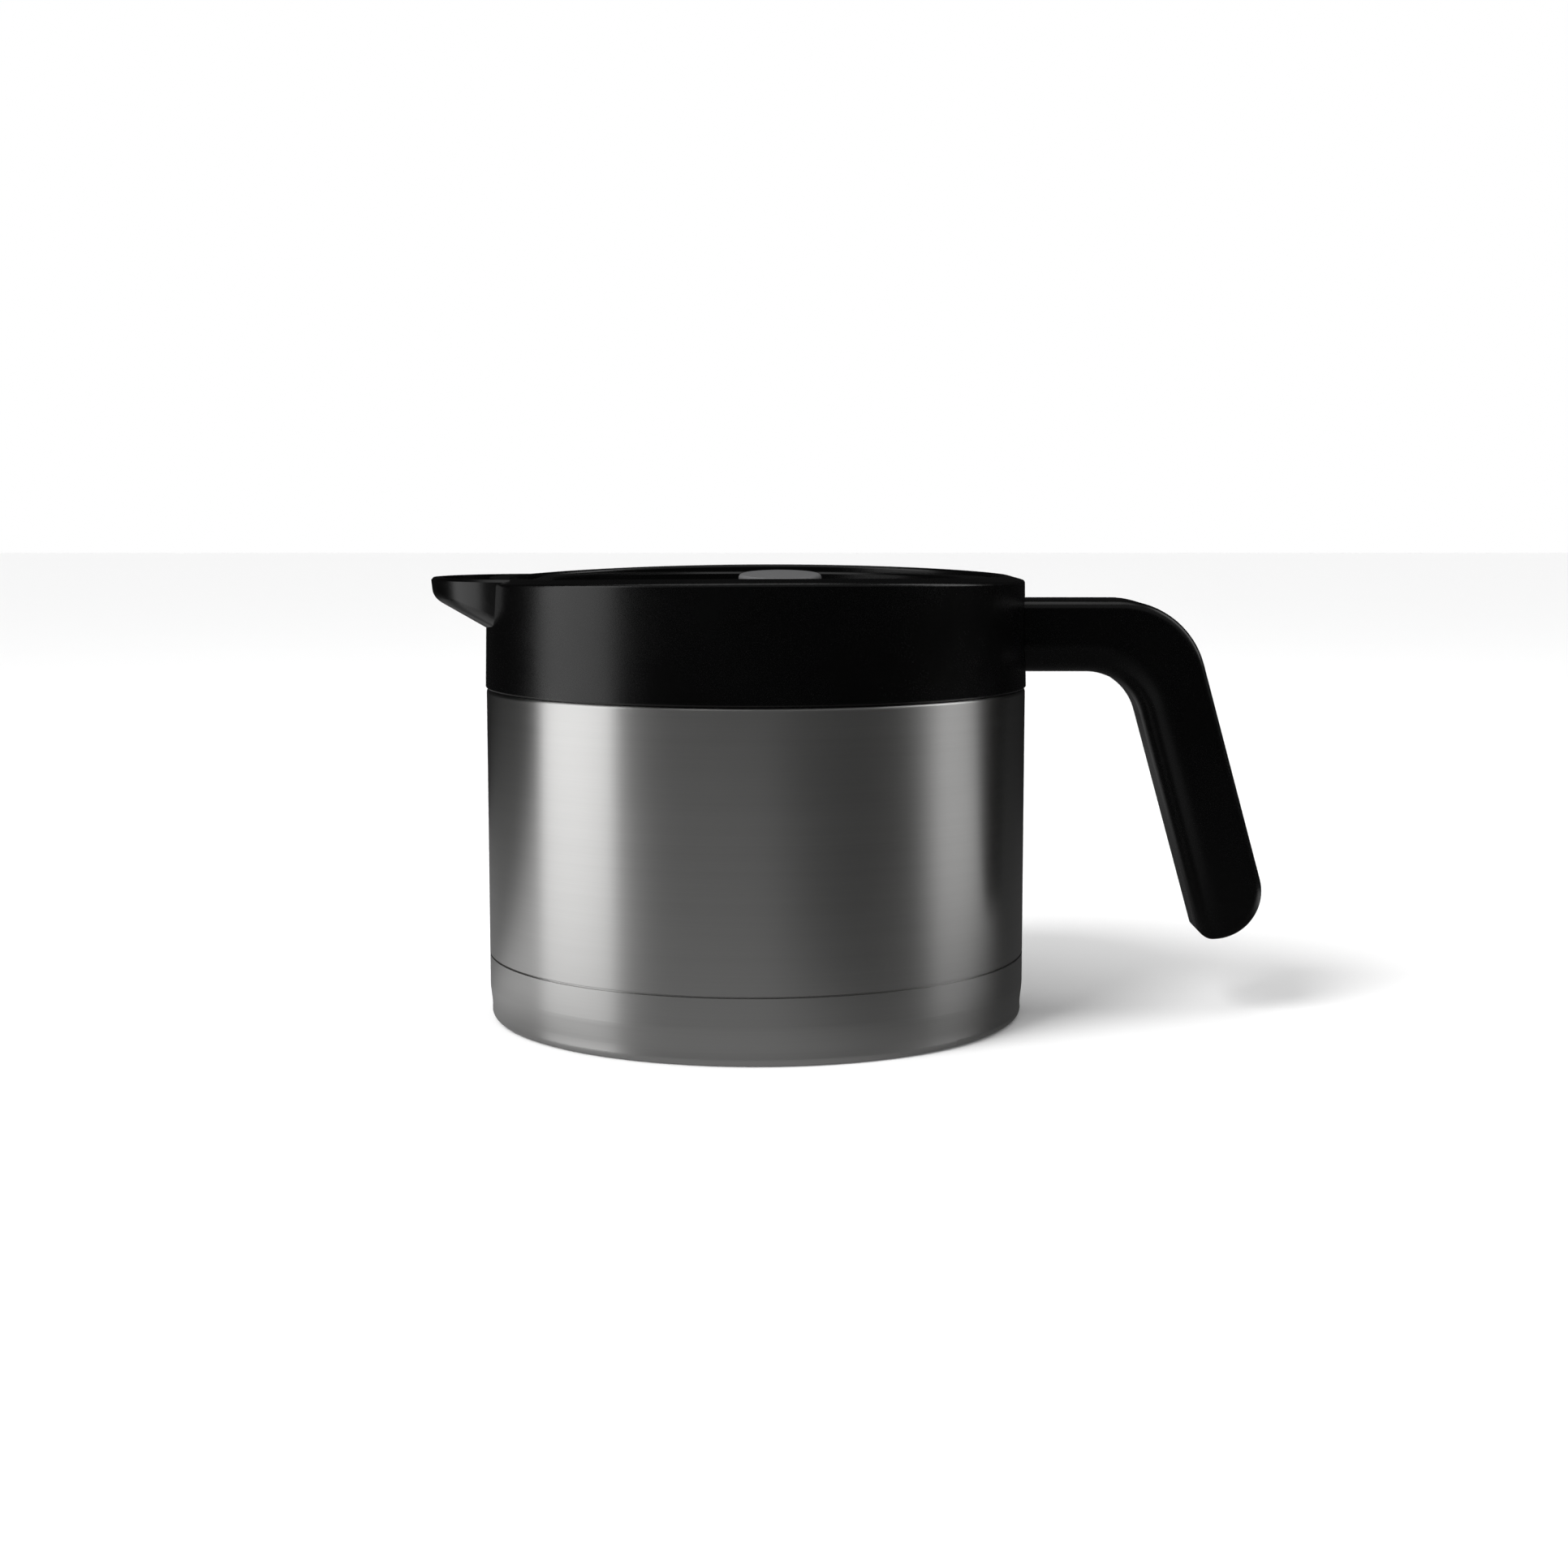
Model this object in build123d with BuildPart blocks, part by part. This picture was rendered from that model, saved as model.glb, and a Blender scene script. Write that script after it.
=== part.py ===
from build123d import *
import itertools
import math
import os

# A vacuum carafe for drip coffee. The origin is on the body's axis, on the surface it stands on.
# +X points at the handle, -X at the spout and +Z up. All sizes are in millimetres.
os.makedirs("parts", exist_ok=True)

# Steel body
body_radius = 74.9
shell_wall = 0.6
seam_height = 18.2
seam_gap = 0.5
seam_overlap = 5.0
seam_rounding = 0.15
joggle_fit = 0.05
shoulder_height = 91.8
shoulder_rounding = 0.8
shoulder_step = 3.6
neck_length = 11.2
lip_overhang = 0.9
lip_wall = 0.5

# Inner vessel
vacuum_gap = 4.4
vessel_wall = 0.5
vessel_floor_height = 13.0
vessel_floor_rounding = 12.0
vessel_shoulder_drop = 1.8
vessel_neck_rounding = 2.5
mouth_step = 6.3
foil_wall = 0.2
foil_height = 60.0
foil_start_height = 27.0

# Base cup, its foot pad and the vacuum's closure
cup_lift = 0.3
cup_taper_height = 10.0
cup_taper = 0.5
cup_corner_height = 2.3
cup_corner_depth = 2.3
pad_inset = 11.4
pad_height = 2.2
pad_side_gap = 0.5
pad_rounding = 0.6
pad_grooves = 4
pad_groove_pitch = 12.0
pad_groove_width = 1.6
pad_groove_depth = 0.5
closure_gap = 2.2
closure_wall = 0.8
closure_rim_height = 4.0
closure_rounding = 1.7
seal_off_radius = 4.0
seal_off_height = 1.2
seal_off_rounding = 0.8
getter_radius = 6.0
getter_height = 1.5
getter_chamfer = 0.4

# Collar
collar_gap = 0.2
collar_height = 32.15
collar_proud = 0.25
collar_taper = 0.6
collar_wall = 5.85
collar_skirt_gap = 1.2
collar_foot_bevel = 0.5
rim_slope_width = 4.4
rim_slope_drop = 1.1
collar_outer_rounding = 0.9
collar_inner_rounding = 0.8
crown_radius = 1700.0
crown_shift = 7.0
gasket_height = 0.6
ledge_step = 0.2
ledge_thickness = 1.6
ring_groove_depth = 1.1
ring_height = 2.8
ring_clearance = 0.1
ring_gap_angle = 24.0
cut_margin = 0.5
rim_reach = 0.05

# Spout
spout_length = 15.75
spout_nose_radius = 29.0
spout_lip_drop = 1.6
spout_slope = 29.6
spout_depth = 15.6
spout_hull_radius = 100.0
spout_draft = 6.0
spout_keel_rounding = 4.2
spout_lip_bevel = 0.7
spout_wall = 2.3
spout_back_inset = 9.05
trough_floor_wall = 1.6
trough_lip_height = 0.4
hoop_inset = 0.8
hoop_height = 2.6
passage_half_width = 18.0
passage_lift = 7.4
passage_rounding = 2.0

# Handle
arm_drop = 7.75
arm_thickness = 19.8
finger_depth = 28.2
grip_lean = 15.6
grip_thickness = 19.8
grip_length = 74.3
outer_bend_radius = 24.0
inner_bend_radius = 16.0
tip_outer_radius = 13.3
tip_inner_radius = 3.5
tip_rounding_share = 0.7
least_rounding = 0.4
handle_half_width = 14.0
handle_edge_rounding = 2.4
handle_palm_rounding = 8.0
handle_palm_margin = 14.0
handle_wall = 2.4
handle_seat_gap = 0.05
handle_root_depth = 4.0
boss_radius = 4.2
screw_radius = 1.5
screw_head_radius = 2.6
screw_head_height = 2.0
screw_recess_depth = 3.4
screw_plug_height = 1.2
screw_plug_inset = 0.05
screw_bite = 2.6
screw_hole_gap = 0.1
screw_socket_share = 0.7
screw_socket_depth = 1.0
arm_screw_distance = 15.4
grip_screw_lift = 10.0
tip_screw_lift = 15.1

# Handle bracket
bracket_half_width = 8.0
bracket_thickness = 11.0
bracket_drop = 37.8
bracket_screw_spread = 9.0
bracket_screw_radius = 1.75
bracket_screw_head_radius = 2.8
bracket_screw_head_height = 2.2
bracket_screw_length = 16.0
bracket_screw_inset = 0.6
bracket_screw_lift = 2.6

# Lid
lid_gap = 2.3
flange_drop = 1.95
flange_thickness = 2.0
flange_width = 9.4
flange_rounding = 0.9
dish_edge_bevel = 0.5
dish_depth = 13.9
dish_wall = 2.0
dish_floor_thickness = 2.0
dish_rounding = 3.0
skirt_wall = 2.4
skirt_gap = 0.4
skirt_rounding = 0.4
port_cut = 5.5
port_floor_gap = 2.8
lug_lift = 0.4
lug_thickness = 2.0
lug_reach = 1.8
lug_arc = 30.0
lug_azimuth = -45.0
collar_lug_arc = 140.0
lug_clearance = 0.5
grip_bar_width = 9.0
grip_bar_drop = 4.4
grip_bar_rounding = 2.0

# Lid plug, gasket and port seal
plug_depth = 13.0
plug_floor_thickness = 2.0
plug_floor_rounding = 1.2
plug_wall = 2.0
plug_gap = 3.0
plug_rib_gap = 1.0
plug_rib_height = 1.5
plug_rib_rounding = 0.4
plug_gasket_lift = 6.0
plug_gasket_height = 3.2
plug_gasket_gap = 0.1
plug_gasket_rounding = 0.8
plug_socket_lift = 0.5
plug_socket_height = 6.9
strainer_slots = 5
strainer_slot_width = 5.0
strainer_slot_length = 22.0
strainer_pitch = 8.0
strainer_edge = 5.0
port_seal_overlap = 0.7
port_seal_gap = 0.2
port_seal_rounding = 0.5

# Valve
valve_place = 6.7
valve_travel = 4.0
valve_stop_gap = 0.2
valve_tube_radius = 9.0
valve_tube_wall = 2.0
valve_hub_radius = 5.5
valve_hub_height = 2.0
valve_spoke_width = 3.0
stem_radius = 2.5
stem_clearance = 0.08
stem_tail = 1.0
stem_chamfer = 0.5
button_radius = 11.55
button_proud = 1.15
button_tilt = 4.5
button_tilt_azimuth = -90.0
button_wall = 1.8
button_crown = 3.25
button_boss_radius = 4.5
button_rounding = 1.0
button_notch_width = 2.6
button_notch_depth = 0.9
button_notch_height = 1.6
button_notch_azimuth = 30.0
guard_clearance = 0.35
guard_wall = 2.0
guard_slot_width = 7.0
guard_slot_height = 4.0
spring_radius = 7.2
spring_wire = 0.9
spring_turns = 4
spring_end_gap = 0.1
seal_gap = 0.15
seal_reach = 1.6
seal_bore = 4.0
seal_thickness = 1.5
seal_fit = 0.05
head_inset = 0.2
head_thickness = 2.4
head_chamfer = 0.8
clip_radius = 4.5
clip_thickness = 1.2
clip_mouth_width = 4.0

# Radii that follow the body, from the outside in
shell_inner_radius = body_radius - shell_wall
joggle_radius = shell_inner_radius - joggle_fit
neck_radius = body_radius - shoulder_step
lip_radius = neck_radius + lip_overhang
mouth_radius = neck_radius - mouth_step
vessel_radius = shell_inner_radius - vacuum_gap - vessel_wall
cup_flat_radius = body_radius - cup_corner_depth
pad_radius = body_radius - pad_inset
collar_base_radius = body_radius + collar_proud
collar_top_radius = collar_base_radius - collar_taper
collar_skirt_radius = neck_radius + collar_skirt_gap
bore_radius = collar_top_radius - collar_wall
ledge_radius = mouth_radius + ledge_step
flange_radius = bore_radius - lid_gap
dish_radius = flange_radius - flange_width
port_chord = flange_radius - port_cut
plug_body_radius = mouth_radius - plug_gap
plug_rib_radius = mouth_radius - plug_rib_gap
spout_reach = collar_top_radius + spout_length
spout_nose_place = spout_reach - spout_nose_radius
spout_back = collar_top_radius - spout_back_inset
grip_corner = collar_base_radius + finger_depth
arm_screw_place = collar_top_radius + arm_screw_distance

# Heights that follow the seam, the shoulder and the lip
seam_top = seam_height + seam_gap / 2
seam_bottom = seam_height - seam_gap / 2
closure_height = vessel_floor_height - vessel_wall - closure_gap
lip_height = shoulder_height + neck_length
neck_top = lip_height - lip_wall
ring_top = neck_top - ring_clearance
vessel_shoulder_height = shoulder_height - vessel_shoulder_drop
gasket_top = lip_height + gasket_height
ledge_top = gasket_top + ledge_thickness
collar_base_height = shoulder_height + collar_gap
collar_top_height = shoulder_height + collar_height
above_rim = collar_top_height + collar_height
crown_side = collar_top_height - (collar_base_radius + crown_shift)**2 / (2 * crown_radius)

# Heights of the lid and the valve, from the collar's ledge and rim
skirt_bottom_height = ledge_top + skirt_gap
lug_top_height = skirt_bottom_height + lug_lift + lug_thickness
port_floor_height = lug_top_height + port_floor_gap
passage_floor_height = ledge_top + passage_lift
passage_top_height = crown_side - hoop_height
port_seal_base = passage_floor_height - port_seal_overlap
port_seal_top = passage_top_height + port_seal_overlap
flange_height = collar_top_height - flange_drop
dish_floor_height = flange_height - dish_depth
grip_bar_height = flange_height - grip_bar_drop
hub_top = dish_floor_height + valve_hub_height
button_height = flange_height + button_proud
button_bottom_height = dish_floor_height + valve_travel + valve_stop_gap
button_ceiling_height = button_height - button_crown
button_boss_bottom = hub_top + valve_travel + valve_stop_gap
plug_floor_height = lip_height - plug_depth
plug_gasket_base = plug_floor_height + plug_gasket_lift
plug_socket_base = lip_height + plug_socket_lift
plug_top_height = plug_socket_base + plug_socket_height
seal_radius = valve_tube_radius + seal_reach
head_radius = seal_radius - head_inset

# Heights of the spout and the handle, from the collar's rim
spout_lip_height = collar_top_height - spout_lip_drop
spout_root_height = collar_top_height - spout_depth
arm_top_height = collar_top_height - arm_drop
arm_bottom_height = arm_top_height - arm_thickness
grip_bottom_height = arm_bottom_height - grip_length
bracket_bottom_height = arm_bottom_height - bracket_drop
arm_middle_height = (arm_top_height + arm_bottom_height) / 2
bracket_screw_height = arm_middle_height + bracket_screw_lift
grip_screw_height = bracket_bottom_height + grip_screw_lift
tip_screw_height = grip_bottom_height + tip_screw_lift


def outline(points, plane=Plane.XZ):
    """Returns a closed sketch through points of (across, up, corner radius)."""
    with BuildSketch(plane) as shape:
        with BuildLine():
            Polyline(*[(across, up) for across, up, _ in points], close=True)
        make_face()
        for across, up, corner in points:
            if corner > 0:
                fillet(shape.vertices().sort_by_distance((across, up))[0], corner)
    return shape.sketch


def turn(points, mode=Mode.ADD):
    """Turns an outline of (radius, height, corner radius) about the vertical axis."""
    revolve(outline(points), axis=Axis.Z, mode=mode)


def ring(inner, outer, bottom, top, mode=Mode.ADD):
    """Turns a plain rectangular section about the vertical axis."""
    turn([(inner, bottom, 0), (outer, bottom, 0), (outer, top, 0), (inner, top, 0)], mode)


def disc(radius, bottom, top, x=0.0, y=0.0, mode=Mode.ADD):
    """Adds or cuts a vertical cylinder between two heights."""
    with BuildSketch(Plane.XY.offset(bottom)) as round_face:
        with Locations((x, y)):
            Circle(radius)
    extrude(round_face.sketch, amount=top - bottom, mode=mode)


def sector(inner, outer, bottom, top, arc, azimuth, mode=Mode.ADD):
    """Adds or cuts the part of a ring that lies about one azimuth."""
    side = 6 * outer
    half = math.radians(arc / 2)
    across = side * math.sin(half)
    along = side * math.cos(half)
    turned = Plane.XY.offset(bottom).rotated((0, 0, azimuth))
    with BuildSketch(turned) as slice_face:
        Circle(outer)
        Circle(inner, mode=Mode.SUBTRACT)
        with BuildLine():
            Polyline((0, 0), (along, -across), (along, across), close=True)
        make_face(mode=Mode.INTERSECT)
    extrude(slice_face.sketch, amount=top - bottom, mode=mode)


def beyond_chord(bottom, top):
    """Cuts off what lies past the lid's straight pouring edge, on the spout's side."""
    with BuildSketch(Plane.XY.offset(bottom)) as outside:
        with Locations((-port_chord - flange_radius / 2, 0)):
            Rectangle(flange_radius, 3 * flange_radius)
    extrude(outside.sketch, amount=top - bottom, mode=Mode.SUBTRACT)


# Base cup: the brushed steel cap below the seam
with BuildPart() as base_cup:
    pad_recess = pad_radius + pad_side_gap
    cup_inner_height = cup_corner_height + shell_wall
    cup_floor_top = pad_height + shell_wall
    with BuildSketch(Plane.XZ):
        with BuildLine():
            Line((0, pad_height), (pad_recess, pad_height))
            Line((pad_recess, pad_height), (pad_recess, cup_lift))
            Line((pad_recess, cup_lift), (cup_flat_radius, cup_lift))
            corner = (body_radius - cup_taper, cup_corner_height)
            lower = TangentArc((cup_flat_radius, cup_lift), corner, tangent=(1, 0))
            Spline(corner, (body_radius, cup_taper_height), tangents=[lower % 1, (0, 1)])
            Line((body_radius, cup_taper_height), (body_radius, seam_bottom))
            Line((body_radius, seam_bottom), (shell_inner_radius, seam_bottom))
            Line((shell_inner_radius, seam_bottom), (shell_inner_radius, cup_taper_height))
            Line((shell_inner_radius, cup_taper_height), (cup_flat_radius, cup_inner_height))
            Line((cup_flat_radius, cup_inner_height), (cup_flat_radius, cup_floor_top))
            Line((cup_flat_radius, cup_floor_top), (0, cup_floor_top))
            Line((0, cup_floor_top), (0, pad_height))
        make_face()
    revolve(axis=Axis.Z)
base_cup.part.label = "base_cup"
export_step(base_cup.part, "parts/base_cup.step")

# Foot pad: soft grooved disc under the cup that the carafe stands on
with BuildPart() as foot_pad:
    turn([
        (0, 0, 0),
        (pad_radius, 0, pad_rounding),
        (pad_radius, pad_height, 0),
        (0, pad_height, 0),
    ])
    for groove in range(pad_grooves):
        groove_outer = pad_radius - (groove + 1) * pad_groove_pitch
        ring(groove_outer - pad_groove_width, groove_outer, 0, pad_groove_depth, mode=Mode.SUBTRACT)
foot_pad.part.label = "foot_pad"
export_step(foot_pad.part, "parts/foot_pad.step")

# Outer shell: straight steel wall, joggled into the cup and stepped in to the neck
with BuildPart() as outer_shell:
    inner_neck = neck_radius - shell_wall
    step_inner = shoulder_height - shell_wall
    joggle_inner = joggle_radius - shell_wall
    joggle_bottom = seam_bottom - seam_overlap
    turn([
        (joggle_radius, joggle_bottom, 0),
        (joggle_radius, seam_top, 0),
        (body_radius, seam_top, seam_rounding),
        (body_radius, shoulder_height, shoulder_rounding),
        (neck_radius, shoulder_height, 0),
        (neck_radius, neck_top, 0),
        (inner_neck, neck_top, 0),
        (inner_neck, step_inner, 0),
        (shell_inner_radius, step_inner, 0),
        (shell_inner_radius, seam_top + shell_wall, 0),
        (joggle_inner, seam_top + shell_wall, 0),
        (joggle_inner, joggle_bottom, 0),
    ])
outer_shell.part.label = "outer_shell"
export_step(outer_shell.part, "parts/outer_shell.step")

# Vacuum closure: dished plate welded in the shell's lower edge
with BuildPart() as vacuum_closure:
    closure_radius = joggle_inner
    closure_top = closure_height + closure_rim_height
    turn([
        (0, closure_height - closure_wall, 0),
        (closure_radius, closure_height - closure_wall, closure_rounding + closure_wall),
        (closure_radius, closure_top, 0),
        (closure_radius - closure_wall, closure_top, 0),
        (closure_radius - closure_wall, closure_height, closure_rounding),
        (0, closure_height, 0),
    ])
vacuum_closure.part.label = "vacuum_closure"
export_step(vacuum_closure.part, "parts/vacuum_closure.step")

# Seal-off button: soldered over the evacuation hole, under the closure
with BuildPart() as seal_off_button:
    closure_bottom = closure_height - closure_wall
    disc(seal_off_radius, closure_bottom - seal_off_height, closure_bottom)
    fillet(seal_off_button.edges().sort_by(Axis.Z)[0], seal_off_rounding)
seal_off_button.part.label = "seal_off_button"
export_step(seal_off_button.part, "parts/seal_off_button.step")

# Getter: the pellet that keeps the vacuum, on top of the closure
with BuildPart() as getter:
    disc(getter_radius, closure_height, closure_height + getter_height)
    chamfer(getter.edges().sort_by(Axis.Z)[-1], getter_chamfer)
getter.part.label = "getter"
export_step(getter.part, "parts/getter.step")

# Inner vessel: thin steel flask, necked in to the mouth, with the lip that closes the neck
with BuildPart() as inner_vessel:
    vessel_outer = vessel_radius + vessel_wall
    mouth_outer = mouth_radius + vessel_wall
    floor_bottom = vessel_floor_height - vessel_wall
    cone_height = vessel_radius - mouth_radius
    turn([
        (0, floor_bottom, 0),
        (vessel_outer, floor_bottom, vessel_floor_rounding + vessel_wall),
        (vessel_outer, vessel_shoulder_height, vessel_neck_rounding + vessel_wall),
        (mouth_outer, vessel_shoulder_height + cone_height, vessel_neck_rounding - vessel_wall),
        (mouth_outer, neck_top, 0),
        (lip_radius, neck_top, 0),
        (lip_radius, lip_height, 0),
        (mouth_radius, lip_height, 0),
        (mouth_radius, vessel_shoulder_height + cone_height, vessel_neck_rounding),
        (vessel_radius, vessel_shoulder_height, vessel_neck_rounding),
        (vessel_radius, vessel_floor_height, vessel_floor_rounding),
        (0, vessel_floor_height, 0),
    ])
inner_vessel.part.label = "inner_vessel"
export_step(inner_vessel.part, "parts/inner_vessel.step")

# Heat foil: bright foil wrapped round the flask inside the vacuum
with BuildPart() as heat_foil:
    ring(vessel_outer, vessel_outer + foil_wall, foil_start_height, foil_start_height + foil_height)
heat_foil.part.label = "heat_foil"
export_step(heat_foil.part, "parts/heat_foil.step")

# Collar gasket: flat ring between the lip and the collar's ledge
with BuildPart() as collar_gasket:
    ring(ledge_radius, bore_radius, lip_height, gasket_top)
collar_gasket.part.label = "collar_gasket"
export_step(collar_gasket.part, "parts/collar_gasket.step")

# Retaining ring: split ring under the lip that holds the collar down
with BuildPart() as retaining_ring:
    ring_outer = collar_skirt_radius + ring_groove_depth - ring_clearance
    ring(neck_radius + ring_clearance, ring_outer, ring_top - ring_height, ring_top)
    ring_bottom = ring_top - ring_height
    sector(neck_radius, ring_outer + cut_margin, ring_bottom, ring_top, ring_gap_angle, 90,
           mode=Mode.SUBTRACT)
retaining_ring.part.label = "retaining_ring"
export_step(retaining_ring.part, "parts/retaining_ring.step")

# Spout: a broad round nose, flat on top, whose hull-shaped underside rises to the tip
spout_angle = math.radians(spout_slope)


def nose_plan(inset, height):
    """Returns the spout's plan at a height, drawn in by a wall, from inside the collar to the tip."""
    with BuildSketch(Plane.XY.offset(height)) as plan:
        with Locations((-spout_nose_place, 0)):
            Circle(spout_nose_radius - inset)
        with Locations((-spout_back + spout_nose_radius, 0)):
            Rectangle(2 * spout_nose_radius, 2 * spout_nose_radius, mode=Mode.SUBTRACT)
    return plan.sketch


def free_edges(face):
    """Returns a face's edges that lie on the spout's outside."""
    return face.edges().filter_by(lambda edge: edge.bounding_box().min.X < -collar_top_radius)


with BuildPart() as spout_blank:
    extrude(nose_plan(0.0, spout_lip_height), amount=-2 * spout_depth, taper=spout_draft)
    hull_x = -collar_top_radius + spout_hull_radius * math.sin(spout_angle)
    hull_z = spout_root_height + spout_hull_radius * math.cos(spout_angle)
    along_keel = (-math.cos(spout_angle), 0, math.sin(spout_angle))
    with BuildSketch(Plane(origin=(hull_x, 0, hull_z), x_dir=(0, 1, 0), z_dir=along_keel)):
        Circle(spout_hull_radius)
    extrude(amount=spout_reach, both=True, mode=Mode.INTERSECT)
    keel = spout_blank.faces().filter_by(lambda face: face.normal_at().Z < -0.5)
    fillet(free_edges(keel), spout_keel_rounding)
    chamfer(free_edges(spout_blank.faces().sort_by(Axis.Z)[-1]), spout_lip_bevel)

# Trough: the hollow of the spout, whose floor curves up to the pouring lip
with BuildPart() as trough:
    floor_start = (-spout_back, passage_floor_height - trough_lip_height)
    floor_middle = ((-spout_back - spout_reach) / 2, passage_floor_height + trough_floor_wall)
    floor_end = (-spout_reach + spout_wall, spout_lip_height + trough_lip_height)
    with BuildSketch(Plane.XZ):
        with BuildLine():
            ThreePointArc(floor_start, floor_middle, floor_end)
            Polyline(floor_end, (floor_end[0], above_rim), (floor_start[0], above_rim), floor_start)
        make_face()
    extrude(amount=spout_reach, both=True)
    extrude(nose_plan(spout_wall, 0.0), amount=above_rim, mode=Mode.INTERSECT)
    disc(collar_top_radius - hoop_inset, 0, above_rim, mode=Mode.SUBTRACT)

# Collar: the black moulding that carries the spout, the handle and the lid's bore
collar_lug_base = lug_top_height + lug_clearance
bracket_screw_sides = [-bracket_screw_spread / 2, bracket_screw_spread / 2]
bracket_screw_seat = bore_radius + bracket_screw_inset + bracket_screw_head_height


def along_x(radius, y, z, start, end, mode=Mode.ADD):
    """Adds or cuts a round peg along X between two distances from the body's axis."""
    with BuildSketch(Plane(origin=(start, y, z), z_dir=(1, 0, 0))) as peg:
        Circle(radius)
    extrude(peg.sketch, amount=end - start, mode=mode)


def farthest_from_wall(edge):
    """Returns how far the farther end of an edge is from the collar's tapering wall."""
    return max(wall_distance(edge @ 0), wall_distance(edge @ 1))


def wall_distance(point):
    """Returns how far a point is from the collar's tapering wall."""
    share = (point.Z - collar_base_height) / (collar_top_height - collar_base_height)
    return abs(math.hypot(point.X, point.Y) - collar_base_radius + share * collar_taper)


def slope_edges(part):
    """Returns the edges where the rim's slope meets the collar's wall."""
    lowest = crown_side - rim_slope_drop - cut_margin
    high = part.edges().filter_by(lambda edge: lowest < edge.center().Z)
    return high.filter_by(lambda edge: farthest_from_wall(edge) < rim_reach)


def rim_edges(part, radius):
    """Returns the edges round the collar's top that start and end at a radius."""
    high = part.edges().filter_by(lambda edge: edge.center().Z > crown_side - cut_margin)
    return high.filter_by(lambda edge: max(
        abs(math.hypot(end.X, end.Y) - radius) for end in (edge @ 0, edge @ 1)) < cut_margin)


with BuildPart() as collar:
    turn([
        (collar_skirt_radius, collar_base_height, 0),
        (collar_base_radius - collar_foot_bevel, collar_base_height, 0),
        (collar_base_radius, collar_base_height + collar_foot_bevel, 0),
        (collar_top_radius, collar_top_height, 0),
        (bore_radius, collar_top_height, 0),
        (bore_radius, ledge_top, 0),
        (ledge_radius, ledge_top, 0),
        (ledge_radius, gasket_top, 0),
        (collar_skirt_radius, gasket_top, 0),
    ])
    with BuildSketch(Plane.XZ):
        with BuildLine():
            crown_start = (-collar_base_radius, crown_side)
            crown_end = (collar_base_radius + 2 * crown_shift, crown_side)
            ThreePointArc(crown_start, (crown_shift, collar_top_height), crown_end)
            Polyline(crown_end, (crown_end[0], above_rim), (crown_start[0], above_rim), crown_start)
        make_face()
    extrude(amount=collar_base_radius, both=True, mode=Mode.SUBTRACT)
    rim_top = collar.faces().filter_by(lambda face: face.center().Z > crown_side)[0]
    chamfer(rim_edges(collar, collar_top_radius), rim_slope_width, rim_slope_drop, reference=rim_top)
    fillet(slope_edges(collar), collar_outer_rounding)
    fillet(rim_edges(collar, bore_radius), collar_inner_rounding)
    add(spout_blank.part)
    add(trough.part, mode=Mode.SUBTRACT)
    passage_height = passage_top_height - passage_floor_height
    passage_middle = passage_floor_height + passage_height / 2
    with BuildSketch(Plane(origin=(-bore_radius, 0, passage_middle), x_dir=(0, 1, 0), z_dir=(-1, 0, 0))):
        RectangleRounded(2 * passage_half_width, passage_height, passage_rounding)
    extrude(amount=collar_top_radius - bore_radius, both=True, mode=Mode.SUBTRACT)
    disc(bore_radius, ledge_top, above_rim, mode=Mode.SUBTRACT)
    disc(collar_skirt_radius, 0, gasket_top, mode=Mode.SUBTRACT)
    groove_bottom = ring_top - ring_height - ring_clearance
    groove_radius = collar_skirt_radius + ring_groove_depth
    ring(neck_radius, groove_radius, groove_bottom, ring_top + ring_clearance, mode=Mode.SUBTRACT)
    for azimuth in (90, 270):
        sector(flange_radius + lug_clearance, bore_radius + cut_margin, collar_lug_base,
               collar_lug_base + lug_thickness, collar_lug_arc, azimuth)
    for side in bracket_screw_sides:
        along_x(bracket_screw_head_radius + screw_hole_gap, side, bracket_screw_height, ledge_radius,
                bracket_screw_seat, mode=Mode.SUBTRACT)
        along_x(bracket_screw_radius + screw_hole_gap, side, bracket_screw_height, bracket_screw_seat,
                collar_base_radius + cut_margin, mode=Mode.SUBTRACT)
collar.part.label = "collar"
export_step(collar.part, "parts/collar.step")

# Handle: an arm that bends down into a grip leaning away from the body, in two hollow halves
lean = math.tan(math.radians(grip_lean))
lean_secant = 1 / math.cos(math.radians(grip_lean))
handle_root = collar_top_radius - handle_root_depth
inner_wall_side = handle_half_width - handle_wall
screw_seat_side = handle_half_width - screw_recess_depth


def handle_outline(inset):
    """Returns the handle's side view, drawn in by an inset all round except at the collar."""
    top = arm_top_height - inset
    bottom = arm_bottom_height + inset
    end = grip_bottom_height + inset
    inner = grip_corner + inset * lean_secant
    outer = grip_corner + (grip_thickness - inset) * lean_secant
    tip_outer = min(tip_outer_radius - inset, tip_rounding_share * (grip_thickness - 2 * inset))
    return outline([
        (handle_root, bottom, 0),
        (inner + (arm_bottom_height - bottom) * lean, bottom, inner_bend_radius + inset),
        (inner + (arm_bottom_height - end) * lean, end, max(tip_inner_radius - inset, 2 * least_rounding)),
        (outer + (arm_bottom_height - end) * lean, end, tip_outer),
        (outer + (arm_bottom_height - top) * lean, top, outer_bend_radius - inset),
        (handle_root, top, 0),
    ])


def grip_middle(height):
    """Returns how far the middle of the grip is from the body's axis at a height."""
    return grip_corner + grip_thickness * lean_secant / 2 + (arm_bottom_height - height) * lean


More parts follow.
